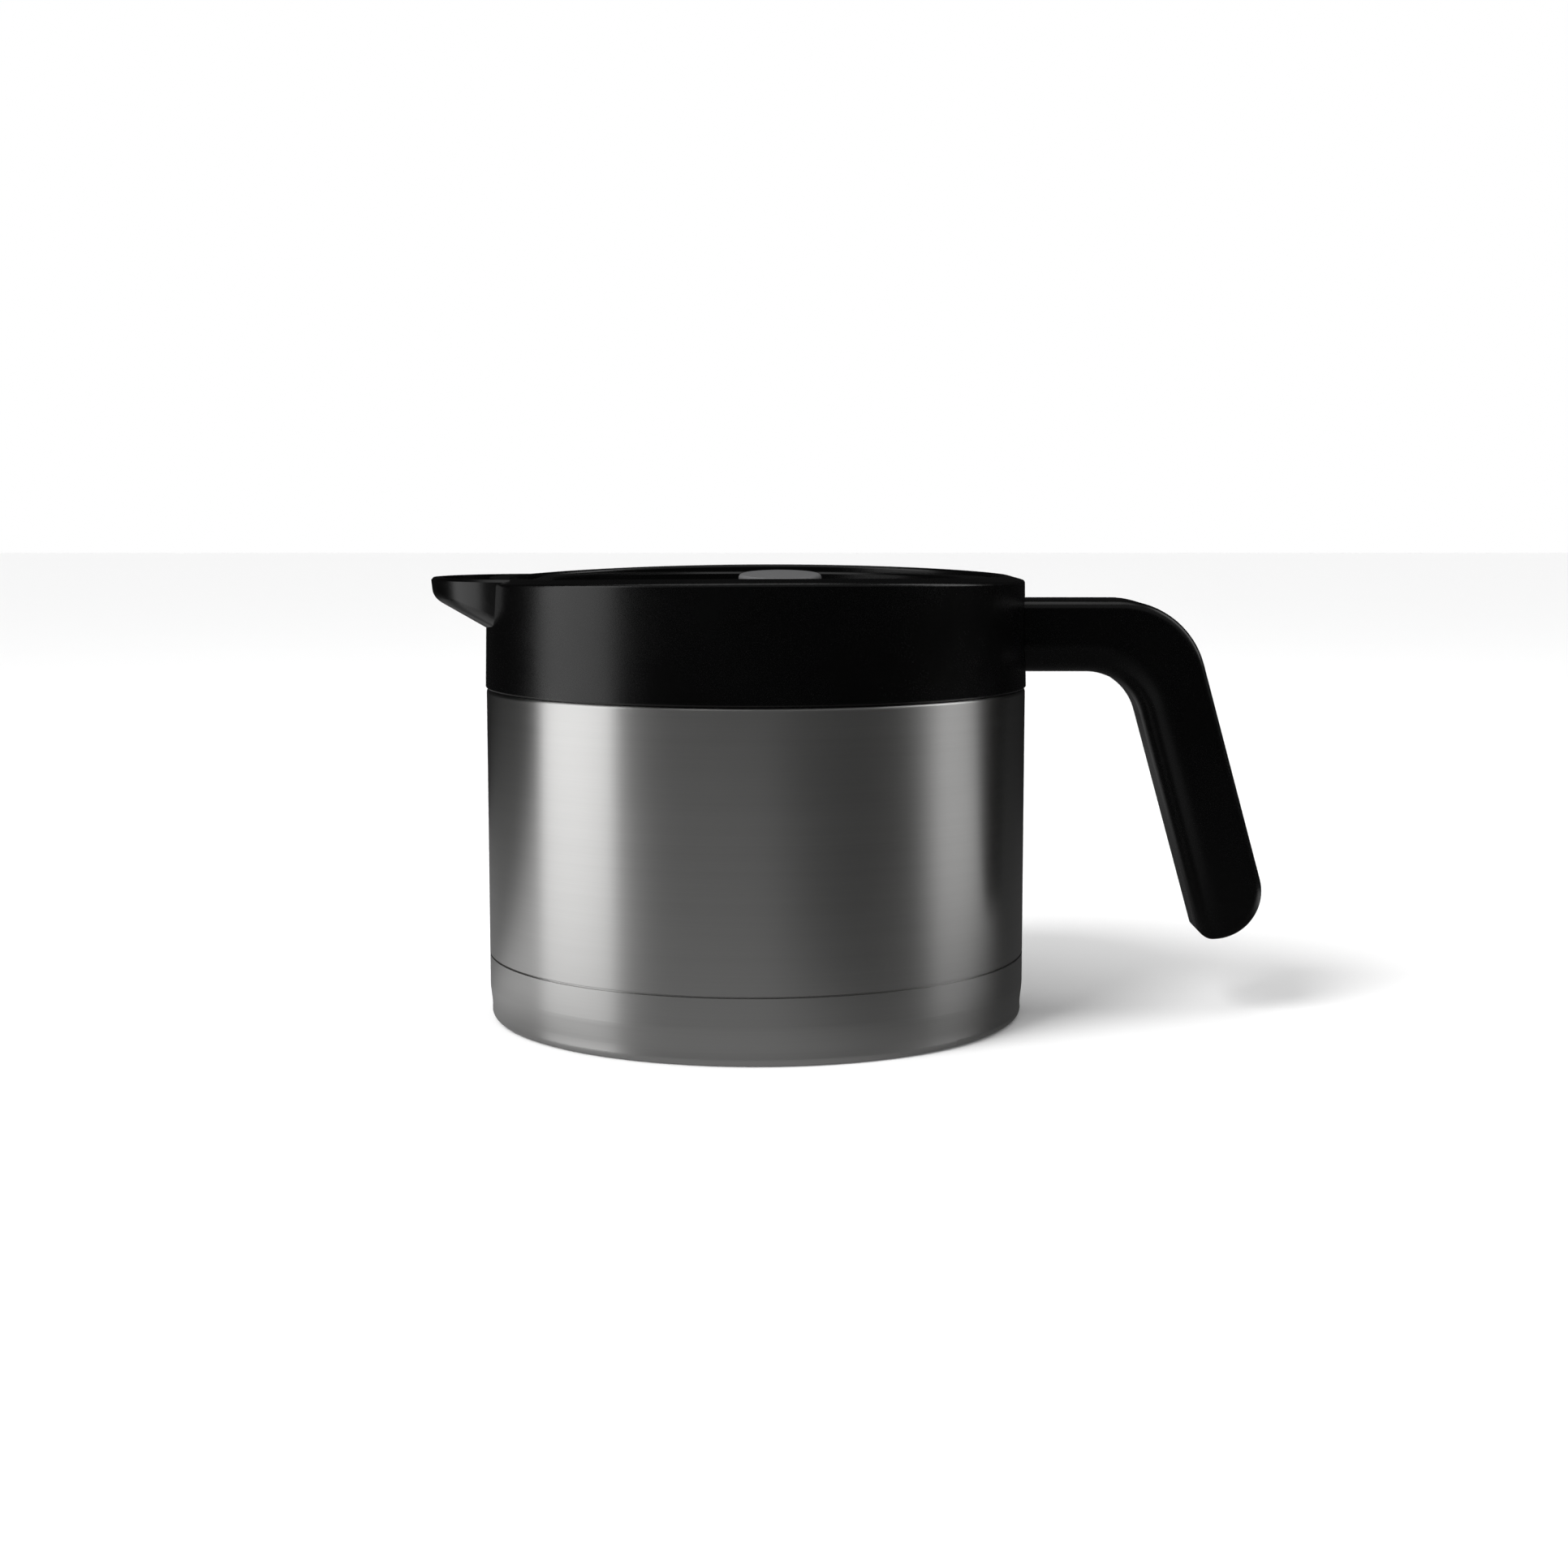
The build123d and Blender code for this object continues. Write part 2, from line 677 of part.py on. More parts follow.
def palm_outline(inset):
    """Returns a side view that keeps the handle's inner edge and is larger all round elsewhere."""
    bottom = arm_bottom_height + inset
    end = grip_bottom_height - handle_palm_margin
    inner = grip_corner + inset * lean_secant
    outer = grip_corner + (grip_thickness + handle_palm_margin) * lean_secant
    top = arm_top_height + handle_palm_margin
    return outline([
        (handle_root, bottom, 0),
        (inner + (arm_bottom_height - bottom) * lean, bottom, inner_bend_radius + inset),
        (inner + (arm_bottom_height - end) * lean, end, 0),
        (outer + (arm_bottom_height - end) * lean, end, 0),
        (outer, top, 0),
        (handle_root, top, 0),
    ])


def rounded_slab(profile, depth, rounding, inner_only):
    """Returns a side view made thick towards one side, with its edges rounded on that side's face."""
    with BuildPart() as slab:
        extrude(profile, amount=depth)
        face = slab.faces().sort_by(Axis.Y)[0 if depth > 0 else -1]
        edges = face.edges().filter_by(lambda edge: edge.center().X > handle_root + cut_margin)
        if inner_only:
            edges = edges.filter_by(lambda edge: beside_palm(edge.center()))
        fillet(edges, rounding)
    return slab.part


def beside_palm(point):
    """Tells whether a point is on the handle's inner edge, along the fingers."""
    past_grip = point.X - grip_corner - (arm_bottom_height - point.Z) * lean
    return past_grip < grip_thickness / 2 and point.Z < arm_middle_height


def handle_half(inset, side):
    """Returns one half of the handle, drawn in all round, with a crisp outer and a soft inner edge."""
    depth = side * (handle_half_width - inset)
    edge_rounding = max(handle_edge_rounding - inset, least_rounding)
    crisp = rounded_slab(handle_outline(inset), depth, edge_rounding, False)
    soft = rounded_slab(palm_outline(inset), depth, handle_palm_rounding - inset, True)
    return crisp & soft


def cut_to_collar():
    """Cuts away the space that the collar takes, so that the handle's root seats on it."""
    seat = handle_seat_gap
    turn([
        (0, collar_base_height, 0),
        (collar_base_radius + seat, collar_base_height, 0),
        (collar_top_radius + seat, collar_top_height, 0),
        (0, collar_top_height, 0),
    ], mode=Mode.SUBTRACT)


def along_y(radius, x, z, start, end, mode=Mode.ADD):
    """Adds or cuts a round peg across the handle, from one place along Y to another."""
    with BuildSketch(Plane(origin=(x, start, z), z_dir=(0, 1 if end > start else -1, 0))) as peg:
        Circle(radius)
    extrude(peg.sketch, amount=abs(end - start), mode=mode)


# Each handle screw: its place along X, its height and where the two halves' bosses end
handle_screw_places = [
    (arm_screw_place, arm_middle_height, bracket_half_width),
    (grip_middle(grip_screw_height), grip_screw_height, bracket_half_width),
    (grip_middle(tip_screw_height), tip_screw_height, 0.0),
]
screw_tip_side = -bracket_half_width - screw_bite

# Near half: the side without screw recesses
with BuildPart() as handle_near_half:
    add(handle_half(0.0, 1))
    add(handle_half(handle_wall, 1), mode=Mode.SUBTRACT)
    for x, z, end in handle_screw_places:
        along_y(boss_radius, x, z, -inner_wall_side - cut_margin, -end)
        along_y(screw_radius, x, z, -end, screw_tip_side, mode=Mode.SUBTRACT)
    cut_to_collar()
handle_near_half.part.label = "handle_near_half"
export_step(handle_near_half.part, "parts/handle_near_half.step")

# Far half: the side that the screws go in from
with BuildPart() as handle_far_half:
    add(handle_half(0.0, -1))
    add(handle_half(handle_wall, -1), mode=Mode.SUBTRACT)
    for x, z, end in handle_screw_places:
        along_y(boss_radius, x, z, inner_wall_side + cut_margin, end)
        along_y(screw_radius + screw_hole_gap, x, z, end, handle_half_width, mode=Mode.SUBTRACT)
        along_y(screw_head_radius + screw_hole_gap, x, z, screw_seat_side, handle_half_width,
                mode=Mode.SUBTRACT)
    cut_to_collar()
handle_far_half.part.label = "handle_far_half"
export_step(handle_far_half.part, "parts/handle_far_half.step")

# Bracket: the bar inside the arm that is screwed to the collar and clamped by the halves
with BuildPart() as handle_bracket:
    bracket_inset = (arm_top_height - arm_bottom_height - bracket_thickness) / 2
    extrude(handle_outline(bracket_inset), amount=bracket_half_width, both=True)
    split(bisect_by=Plane.XY.offset(bracket_bottom_height), keep=Keep.TOP)
    cut_to_collar()
    for x, z, end in handle_screw_places[:2]:
        along_y(screw_radius + screw_hole_gap, x, z, end, -end, mode=Mode.SUBTRACT)
    for side in bracket_screw_sides:
        along_x(bracket_screw_radius, side, bracket_screw_height, bore_radius,
                bracket_screw_seat + bracket_screw_length, mode=Mode.SUBTRACT)
handle_bracket.part.label = "handle_bracket"
export_step(handle_bracket.part, "parts/handle_bracket.step")

# Bracket screws: driven outwards from the collar's bore
with BuildPart() as bracket_screws:
    for side in bracket_screw_sides:
        head_start = bracket_screw_seat - bracket_screw_head_height
        along_x(bracket_screw_head_radius, side, bracket_screw_height, head_start, bracket_screw_seat)
        along_x(bracket_screw_radius, side, bracket_screw_height, bracket_screw_seat,
                bracket_screw_seat + bracket_screw_length)
        along_x(bracket_screw_radius * screw_socket_share, side, bracket_screw_height, head_start,
                head_start + screw_socket_depth, mode=Mode.SUBTRACT)
bracket_screws.part.label = "bracket_screws"
export_step(bracket_screws.part, "parts/bracket_screws.step")

# Handle screws: from the far half, through the bracket, into the near half's bosses
with BuildPart() as handle_screws:
    for x, z, end in handle_screw_places:
        head_end = screw_seat_side + screw_head_height
        along_y(screw_radius, x, z, screw_tip_side, screw_seat_side)
        along_y(screw_head_radius, x, z, screw_seat_side, head_end)
        along_y(screw_radius * screw_socket_share, x, z, head_end, head_end - screw_socket_depth,
                mode=Mode.SUBTRACT)
handle_screws.part.label = "handle_screws"
export_step(handle_screws.part, "parts/handle_screws.step")

# Screw plugs: the caps that close the recesses
with BuildPart() as screw_plugs:
    for x, z, end in handle_screw_places:
        plug_side = handle_half_width - screw_plug_height
        along_y(screw_head_radius + screw_hole_gap / 2, x, z, plug_side,
                handle_half_width - screw_plug_inset)
screw_plugs.part.label = "screw_plugs"
export_step(screw_plugs.part, "parts/screw_plugs.step")

# Lid top: flange, dish with its grip bar, and the skirt that turns in the collar
dish_floor_bottom = dish_floor_height - dish_floor_thickness
skirt_inner = flange_radius - skirt_wall
guard_inner = button_radius + guard_clearance
guard_outer = guard_inner + guard_wall
with BuildPart() as lid_top:
    turn([
        (0, dish_floor_bottom, 0),
        (dish_radius + dish_wall, dish_floor_bottom, dish_rounding),
        (dish_radius + dish_wall, flange_height - flange_thickness, 0),
        (skirt_inner, flange_height - flange_thickness, 0),
        (skirt_inner, skirt_bottom_height, 0),
        (flange_radius, skirt_bottom_height, skirt_rounding),
        (flange_radius, flange_height, flange_rounding),
        (dish_radius + dish_edge_bevel, flange_height, 0),
        (dish_radius, flange_height - dish_edge_bevel, 0),
        (dish_radius, dish_floor_height, dish_rounding),
        (0, dish_floor_height, 0),
    ])
    beyond_chord(port_floor_height, above_rim)
    for azimuth in (lug_azimuth, lug_azimuth + 180):
        sector(skirt_inner + cut_margin, flange_radius + lug_reach, lug_top_height - lug_thickness,
               lug_top_height, lug_arc, azimuth)
    bar_half = grip_bar_width / 2
    bar_foot = dish_floor_height - cut_margin
    bar = outline([
        (-bar_half, bar_foot, 0),
        (bar_half, bar_foot, 0),
        (bar_half, grip_bar_height, grip_bar_rounding),
        (-bar_half, grip_bar_height, grip_bar_rounding),
    ], Plane.YZ)
    extrude(bar, amount=dish_radius + dish_wall / 2, both=True)
    disc(guard_outer, bar_foot, grip_bar_height, x=valve_place)
    disc(guard_inner, dish_floor_height, grip_bar_height, x=valve_place, mode=Mode.SUBTRACT)
    for angle in (45, 90, 135):
        slot = Location((valve_place, 0, dish_floor_height + guard_slot_height / 2), (0, 0, angle))
        with Locations(slot):
            Box(2 * (guard_outer + cut_margin), guard_slot_width, guard_slot_height, mode=Mode.SUBTRACT)
    disc(valve_tube_radius, dish_floor_bottom, dish_floor_height, x=valve_place, mode=Mode.SUBTRACT)
    disc(valve_hub_radius, dish_floor_bottom, hub_top, x=valve_place)
    for angle in (0, 60, 120):
        spoke = Location((valve_place, 0, dish_floor_height - dish_floor_thickness / 2), (0, 0, angle))
        with Locations(spoke):
            Box(2 * (valve_tube_radius + cut_margin), valve_spoke_width, dish_floor_thickness)
    disc(stem_radius + stem_clearance, dish_floor_bottom, hub_top, x=valve_place, mode=Mode.SUBTRACT)
lid_top.part.label = "lid_top"
export_step(lid_top.part, "parts/lid_top.step")

# Lid plug: the hollow lower half, with the strainer's slots and the tube for the brewed coffee
plug_floor_bottom = plug_floor_height - plug_floor_thickness
plug_rib_top = plug_gasket_base + plug_gasket_height + plug_rib_height
plug_inner = plug_body_radius - plug_wall
with BuildPart() as lid_plug:
    turn([
        (0, plug_floor_bottom, 0),
        (plug_body_radius, plug_floor_bottom, plug_floor_rounding + plug_wall),
        (plug_body_radius, plug_gasket_base - plug_rib_height, 0),
        (plug_rib_radius, plug_gasket_base - plug_rib_height, plug_rib_rounding),
        (plug_rib_radius, plug_gasket_base, 0),
        (plug_body_radius, plug_gasket_base, 0),
        (plug_body_radius, plug_gasket_base + plug_gasket_height, 0),
        (plug_rib_radius, plug_gasket_base + plug_gasket_height, 0),
        (plug_rib_radius, plug_rib_top, plug_rib_rounding),
        (plug_body_radius, plug_rib_top, 0),
        (plug_body_radius, plug_socket_base, 0),
        (skirt_inner, plug_socket_base, 0),
        (skirt_inner, plug_top_height, 0),
        (plug_body_radius, plug_top_height, 0),
        (plug_body_radius, plug_socket_base + plug_wall, 0),
        (plug_inner, plug_socket_base + plug_wall, 0),
        (plug_inner, plug_floor_height, plug_floor_rounding),
        (0, plug_floor_height, 0),
    ])
    disc(valve_tube_radius + valve_tube_wall, plug_floor_bottom, dish_floor_bottom, x=valve_place)
    disc(valve_tube_radius, plug_floor_bottom, dish_floor_bottom, x=valve_place, mode=Mode.SUBTRACT)
    with BuildSketch(Plane.XY.offset(plug_floor_bottom)):
        with Locations((strainer_edge + strainer_slot_length / 2 - plug_inner, 0)):
            with GridLocations(1, strainer_pitch, 1, strainer_slots):
                SlotOverall(strainer_slot_length, strainer_slot_width)
    extrude(amount=plug_floor_thickness, mode=Mode.SUBTRACT)
lid_plug.part.label = "lid_plug"
export_step(lid_plug.part, "parts/lid_plug.step")

# Plug gasket: seals the plug in the vessel's mouth
with BuildPart() as plug_gasket:
    gasket_top_height = plug_gasket_base + plug_gasket_height
    turn([
        (plug_body_radius, plug_gasket_base, 0),
        (mouth_radius - plug_gasket_gap, plug_gasket_base, plug_gasket_rounding),
        (mouth_radius - plug_gasket_gap, gasket_top_height, plug_gasket_rounding),
        (plug_body_radius, gasket_top_height, 0),
    ])
plug_gasket.part.label = "plug_gasket"
export_step(plug_gasket.part, "parts/plug_gasket.step")

# Port seal: the band on the skirt, open at the pouring edge, that shuts the spout when the lid is turned
with BuildPart() as port_seal:
    seal_outer = bore_radius - port_seal_gap
    turn([
        (flange_radius, port_seal_base, 0),
        (seal_outer, port_seal_base, port_seal_rounding),
        (seal_outer, port_seal_top, port_seal_rounding),
        (flange_radius, port_seal_top, 0),
    ])
    beyond_chord(port_seal_base, port_seal_top)
port_seal.part.label = "port_seal"
export_step(port_seal.part, "parts/port_seal.step")

# Valve button: the grey cap, hollow below, whose top face leans to one side
with BuildPart() as valve_button:
    disc(button_radius, button_bottom_height, above_rim, x=valve_place)
    tilt_direction = math.radians(button_tilt_azimuth)
    tilt = math.radians(button_tilt)
    lean_across = math.sin(tilt) * math.cos(tilt_direction)
    lean_along = math.sin(tilt) * math.sin(tilt_direction)
    top_normal = (lean_across, lean_along, math.cos(tilt))
    split(bisect_by=Plane(origin=(valve_place, 0, button_height), z_dir=top_normal), keep=Keep.BOTTOM)
    fillet(valve_button.faces().sort_by(Axis.Z)[-1].edges(), button_rounding)
    disc(button_radius - button_wall, button_bottom_height, button_ceiling_height, x=valve_place,
         mode=Mode.SUBTRACT)
    disc(button_boss_radius, button_boss_bottom, button_ceiling_height, x=valve_place)
    disc(stem_radius, button_boss_bottom, button_ceiling_height, x=valve_place, mode=Mode.SUBTRACT)
    with BuildSketch(Plane.XY.offset(button_height - button_notch_height)):
        notch_turn = math.radians(button_notch_azimuth)
        notch_x = valve_place + button_radius * math.cos(notch_turn)
        notch_y = button_radius * math.sin(notch_turn)
        with Locations(Location((notch_x, notch_y, 0), (0, 0, button_notch_azimuth))):
            Rectangle(2 * button_notch_depth, button_notch_width)
    extrude(amount=above_rim - button_height, mode=Mode.SUBTRACT)
valve_button.part.label = "valve_button"
export_step(valve_button.part, "parts/valve_button.step")

# Valve spring: lies on the spider round the hub and lifts the button
with BuildPart() as valve_spring:
    quarters = 4 * spring_turns
    spring_foot = dish_floor_height + spring_wire / 2 + spring_end_gap
    spring_head = button_ceiling_height - spring_wire / 2 - spring_end_gap

    def spring_point(quarter):
        """Returns the point of the wire's middle line after a number of quarter turns."""
        turned_by = math.radians(90 * quarter)
        along = valve_place + spring_radius * math.cos(turned_by)
        across = spring_radius * math.sin(turned_by)
        return (along, across, spring_foot + (spring_head - spring_foot) * quarter / quarters)

    with BuildLine() as coil:
        for quarter in range(quarters):
            ThreePointArc(spring_point(quarter), spring_point(quarter + 0.5), spring_point(quarter + 1))
    with BuildSketch(Plane(origin=spring_point(0), z_dir=coil.wires()[0] % 0)) as wire_section:
        Circle(spring_wire / 2)
    sweep(wire_section.sketch, path=coil.wires()[0])
valve_spring.part.label = "valve_spring"
export_step(valve_spring.part, "parts/valve_spring.step")

# Least gap of the spring to itself, from points along the wire that lie half a turn or more apart
points_per_quarter = 8
wire_points = [
    segment.position_at(step / points_per_quarter)
    for segment in coil.edges()
    for step in range(points_per_quarter)
]
half_turn = 2 * points_per_quarter
spring_least = min(
    (first - second).length
    for (start, first), (end, second) in itertools.combinations(enumerate(wire_points), 2)
    if end - start >= half_turn
)
print("spring: least gap to itself", round(spring_least - spring_wire, 2), "mm")

# Valve stem: joins the button to the valve's head
seal_top = plug_floor_bottom - seal_gap
head_top = seal_top - seal_thickness
head_bottom = head_top - head_thickness
clip_bottom = head_bottom - clip_thickness
with BuildPart() as valve_stem:
    disc(stem_radius, clip_bottom - stem_tail, button_ceiling_height, x=valve_place)
    chamfer(valve_stem.edges().sort_by(Axis.Z)[0], stem_chamfer)
valve_stem.part.label = "valve_stem"
export_step(valve_stem.part, "parts/valve_stem.step")

# Valve seal: the soft washer that closes the tube from below
with BuildPart() as valve_seal:
    disc(seal_radius, head_top, seal_top, x=valve_place)
    disc(seal_bore, head_top, seal_top, x=valve_place, mode=Mode.SUBTRACT)
valve_seal.part.label = "valve_seal"
export_step(valve_seal.part, "parts/valve_seal.step")

# Valve head: the plate that presses the washer up
with BuildPart() as valve_head:
    disc(head_radius, head_bottom, head_top, x=valve_place)
    chamfer(valve_head.edges().sort_by(Axis.Z)[0], head_chamfer)
    disc(seal_bore - seal_fit, head_top, seal_top, x=valve_place)
    disc(stem_radius, head_bottom, seal_top, x=valve_place, mode=Mode.SUBTRACT)
valve_head.part.label = "valve_head"
export_step(valve_head.part, "parts/valve_head.step")

# Stem clip: holds the head on the stem
with BuildPart() as stem_clip:
    disc(clip_radius, clip_bottom, head_bottom, x=valve_place)
    disc(stem_radius, clip_bottom, head_bottom, x=valve_place, mode=Mode.SUBTRACT)
    with Locations((valve_place + clip_radius, 0, clip_bottom + clip_thickness / 2)):
        Box(2 * clip_radius, clip_mouth_width, clip_thickness, mode=Mode.SUBTRACT)
stem_clip.part.label = "stem_clip"
export_step(stem_clip.part, "parts/stem_clip.step")
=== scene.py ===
"""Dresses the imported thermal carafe: brushed steel body, black mouldings, lid, valve and inner flask."""
import sys

import logging
import math
from collections.abc import Sequence
from dataclasses import dataclass
from enum import Enum
from typing import Any, ClassVar, Union

import bpy
import numpy as np
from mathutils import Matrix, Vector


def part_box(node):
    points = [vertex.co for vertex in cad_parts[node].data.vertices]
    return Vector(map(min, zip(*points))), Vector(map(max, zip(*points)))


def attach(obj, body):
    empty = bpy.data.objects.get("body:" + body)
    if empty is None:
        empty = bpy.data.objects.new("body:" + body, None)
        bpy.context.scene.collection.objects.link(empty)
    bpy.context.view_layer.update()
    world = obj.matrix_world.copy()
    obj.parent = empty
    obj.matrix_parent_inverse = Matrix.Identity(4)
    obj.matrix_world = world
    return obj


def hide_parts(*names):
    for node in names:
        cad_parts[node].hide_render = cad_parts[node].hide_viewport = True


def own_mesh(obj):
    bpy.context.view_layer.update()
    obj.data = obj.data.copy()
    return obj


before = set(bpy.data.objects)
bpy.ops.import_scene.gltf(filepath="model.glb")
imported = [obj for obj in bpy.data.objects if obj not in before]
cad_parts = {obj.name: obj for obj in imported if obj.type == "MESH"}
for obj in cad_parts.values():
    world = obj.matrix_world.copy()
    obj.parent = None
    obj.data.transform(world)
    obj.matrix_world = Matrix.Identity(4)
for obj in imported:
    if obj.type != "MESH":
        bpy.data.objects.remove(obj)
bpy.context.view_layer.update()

log = logging.getLogger("carafe")

Number = Union[int, float]
Colour = tuple[float, float, float]
Step = tuple[float, float]

FULL_TURN = 2.0 * math.pi
WHITE: Colour = (1.0, 1.0, 1.0)
BLACK: Colour = (0.0, 0.0, 0.0)
MIDDLE = 0.5


class Body(Enum):
    """The bodies of the model that move as one."""

    VESSEL = "vessel"
    LID = "lid"
    VALVE = "valve"


# Shader graphs


@dataclass(frozen=True)
class Grain:
    """One layer of fractal noise in a finish, which moves its tone, its roughness and its relief.

    Attributes:
        across: How many features there are in a metre, level with the floor.
        up: How many there are in a metre upwards; None takes the same number.
        octaves: How many finer layers the noise adds.
        finer: How strong the finer layers are.
        tone: How much of the finish's range of tones it covers.
        rough: How much it changes the roughness.
        relief: Its share of the relief.
    """

    across: float
    up: float | None = None
    octaves: float = 3.0
    finer: float = 0.5
    tone: float = 0.0
    rough: float = 0.0
    relief: float = 0.0


@dataclass(frozen=True)
class Specks:
    """Scattered specks in a finish.

    Attributes:
        count: How many there are along a metre.
        edge: Where a speck ends and where it is full, in distances between specks.
        tone: How much of the finish's range of tones a speck adds.
        rough: How much it adds to the roughness.
    """

    count: float
    edge: Step
    tone: float
    rough: float


class Channel:
    """A number that varies over a surface, which takes part in plain arithmetic."""

    def __init__(self, graph: "Graph", socket: bpy.types.NodeSocket) -> None:
        """Wraps a socket.

        Args:
            graph: The graph that the socket belongs to.
            socket: The output socket that gives the number.
        """
        self.graph = graph
        self.socket = socket

    def _maths(self, operation: str, *values: Union["Channel", Number]) -> "Channel":
        """Adds one Math node.

        Args:
            operation: The node's operation.
            values: The node's inputs, in order.

        Returns:
            The node's result.
        """
        made = self.graph.node("ShaderNodeMath", {"operation": operation}, dict(enumerate(values)))
        return Channel(self.graph, made.outputs[0])

    def __add__(self, other: Union["Channel", Number]) -> "Channel":
        """Returns this plus another."""
        return self._maths("ADD", self, other)

    __radd__ = __add__

    def __sub__(self, other: Union["Channel", Number]) -> "Channel":
        """Returns this minus another."""
        return self._maths("SUBTRACT", self, other)

    def __rsub__(self, other: Union["Channel", Number]) -> "Channel":
        """Returns another minus this."""
        return self._maths("SUBTRACT", other, self)

    def __mul__(self, other: Union["Channel", Number]) -> "Channel":
        """Returns this times another."""
        return self._maths("MULTIPLY", self, other)

    __rmul__ = __mul__

    def __truediv__(self, other: Union["Channel", Number]) -> "Channel":
        """Returns this divided by another."""
        return self._maths("DIVIDE", self, other)

    def __rtruediv__(self, other: Union["Channel", Number]) -> "Channel":
        """Returns another divided by this."""
        return self._maths("DIVIDE", other, self)

    def between(self, step: Step) -> "Channel":
        """Returns 0 before a step, 1 past it and a smooth rise between.

        Args:
            step: Where the rise starts and ends; it falls where the end is less than the start.

        Returns:
            The step's height.
        """
        settings = {"interpolation_type": "SMOOTHSTEP"}
        inputs = {"Value": self, "From Min": step[0], "From Max": step[1]}
        return Channel(self.graph, self.graph.node("ShaderNodeMapRange", settings, inputs).outputs[0])


class Graph:
    """The node graph of one material or of the world."""

    def __init__(self, tree: bpy.types.NodeTree) -> None:
        """Empties a node tree and keeps it.

        Args:
            tree: The tree to build in.
        """
        self.tree = tree
        self.tree.nodes.clear()

    def node(self, kind: str, settings: dict[str, Any] | None = None,
             inputs: dict[Any, Any] | None = None) -> bpy.types.Node:
        """Makes one node.

        Args:
            kind: The node's type.
            settings: Properties of the node, which are set first.
            inputs: Values, sockets or channels for the node's inputs, by name or number.

        Returns:
            The node.
        """
        made = self.tree.nodes.new(kind)
        for name, value in (settings or {}).items():
            setattr(made, name, value)
        for name, value in (inputs or {}).items():
            if isinstance(value, Channel):
                value = value.socket
            if isinstance(value, bpy.types.NodeSocket):
                self.tree.links.new(value, made.inputs[name])
            else:
                made.inputs[name].default_value = value
        return made

    def place(self) -> bpy.types.NodeSocket:
        """Returns the point on the object, in metres."""
        return self.node("ShaderNodeTexCoord").outputs["Object"]

    def parts(self, vector: bpy.types.NodeSocket) -> tuple[Channel, Channel, Channel]:
        """Returns the three numbers of a vector.

        Args:
            vector: The socket that gives the vector.

        Returns:
            Its parts along X, Y and Z.
        """
        split = self.node("ShaderNodeSeparateXYZ", inputs={0: vector})
        return tuple(Channel(self, output) for output in split.outputs)

    def noise(self, grain: Grain) -> Channel:
        """Returns fractal noise from 0 to 1.

        Args:
            grain: The noise's size and fineness.

        Returns:
            The noise.
        """
        place, scale = self.place(), grain.across
        if grain.up is not None:
            stretch = (grain.across, grain.across, grain.up)
            place = self.node("ShaderNodeMapping", inputs={"Vector": place, "Scale": stretch}).outputs[0]
            scale = 1.0
        inputs = {"Vector": place, "Scale": scale, "Detail": grain.octaves, "Roughness": grain.finer}
        return Channel(self, self.node("ShaderNodeTexNoise", {"normalize": True}, inputs).outputs["Fac"])

    def specks(self, specks: Specks) -> Channel:
        """Returns 1 on scattered specks and 0 between them.

        Args:
            specks: How many there are and how large they are.

        Returns:
            The specks.
        """
        made = self.node("ShaderNodeTexVoronoi", inputs={"Vector": self.place(), "Scale": specks.count})
        return Channel(self, made.outputs["Distance"]).between(specks.edge)

    def blend(self, share: Channel, first: Colour, second: Colour) -> bpy.types.NodeSocket:
        """Mixes two colours.

        Args:
            share: How much of the second colour there is.
            first: The colour at 0.
            second: The colour at 1.

        Returns:
            The mixed colour.
        """
        settings = {"data_type": "RGBA"}
        inputs = {0: share, 6: (*first, 1.0), 7: (*second, 1.0)}
        return self.node("ShaderNodeMix", settings, inputs).outputs[2]

    def bumped(self, height: Channel, depth: float) -> bpy.types.NodeSocket:
        """Returns a normal that follows a height.

        Args:
            height: The height, from 0 to 1.
            depth: How deep the relief is, in metres.

        Returns:
            The bumped normal.
        """
        return self.node("ShaderNodeBump", inputs={"Height": height, "Distance": depth}).outputs[0]

    def surface(self, varying: dict[str, Any], fixed: dict[str, Any]) -> None:
        """Ends the graph in one shader.

        Args:
            varying: Links for the sockets that change over the surface.
            fixed: Values for the sockets that are the same all over.
        """
        shader = self.node("ShaderNodeBsdfPrincipled", inputs={**fixed, **varying})
        self.node("ShaderNodeOutputMaterial", inputs={"Surface": shader.outputs[0]})


def lighter(colour: Colour, factor: float) -> Colour:
    """Returns a colour times a factor."""
    return tuple(min(1.0, part * factor) for part in colour)


# Finishes


